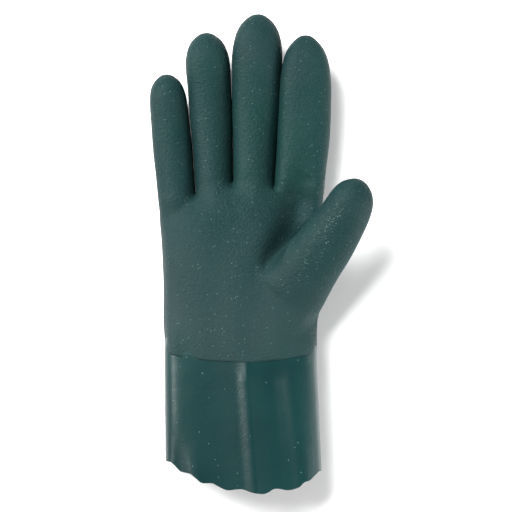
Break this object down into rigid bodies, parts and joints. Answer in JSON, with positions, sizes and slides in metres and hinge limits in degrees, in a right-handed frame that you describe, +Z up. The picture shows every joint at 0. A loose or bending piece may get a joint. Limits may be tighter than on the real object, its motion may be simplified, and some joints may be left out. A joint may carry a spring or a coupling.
{
  "type": "pvc coated work glove",
  "caption": "Hollow gauntlet glove for the right hand, with a gritty coated hand and a smooth cuff, lying palm up.",
  "frame": {"origin": "middle of the base of the bounding box, on the surface that the back of the glove lies on", "axes": "+X to the thumb's side, +Y to the fingertips, +Z up out of the palm"},
  "size_m": [0.1396, 0.3018, 0.0667],
  "materials": {
    "grip_coat": "dark green PVC, matt, with a fine gritty grain",
    "smooth_coat": "dark green PVC, smooth and semi-gloss"
  },
  "bodies": {
    "root": {"hand": "grip_coat", "gauntlet_cuff": "smooth_coat"}
  },
  "joints": []
}
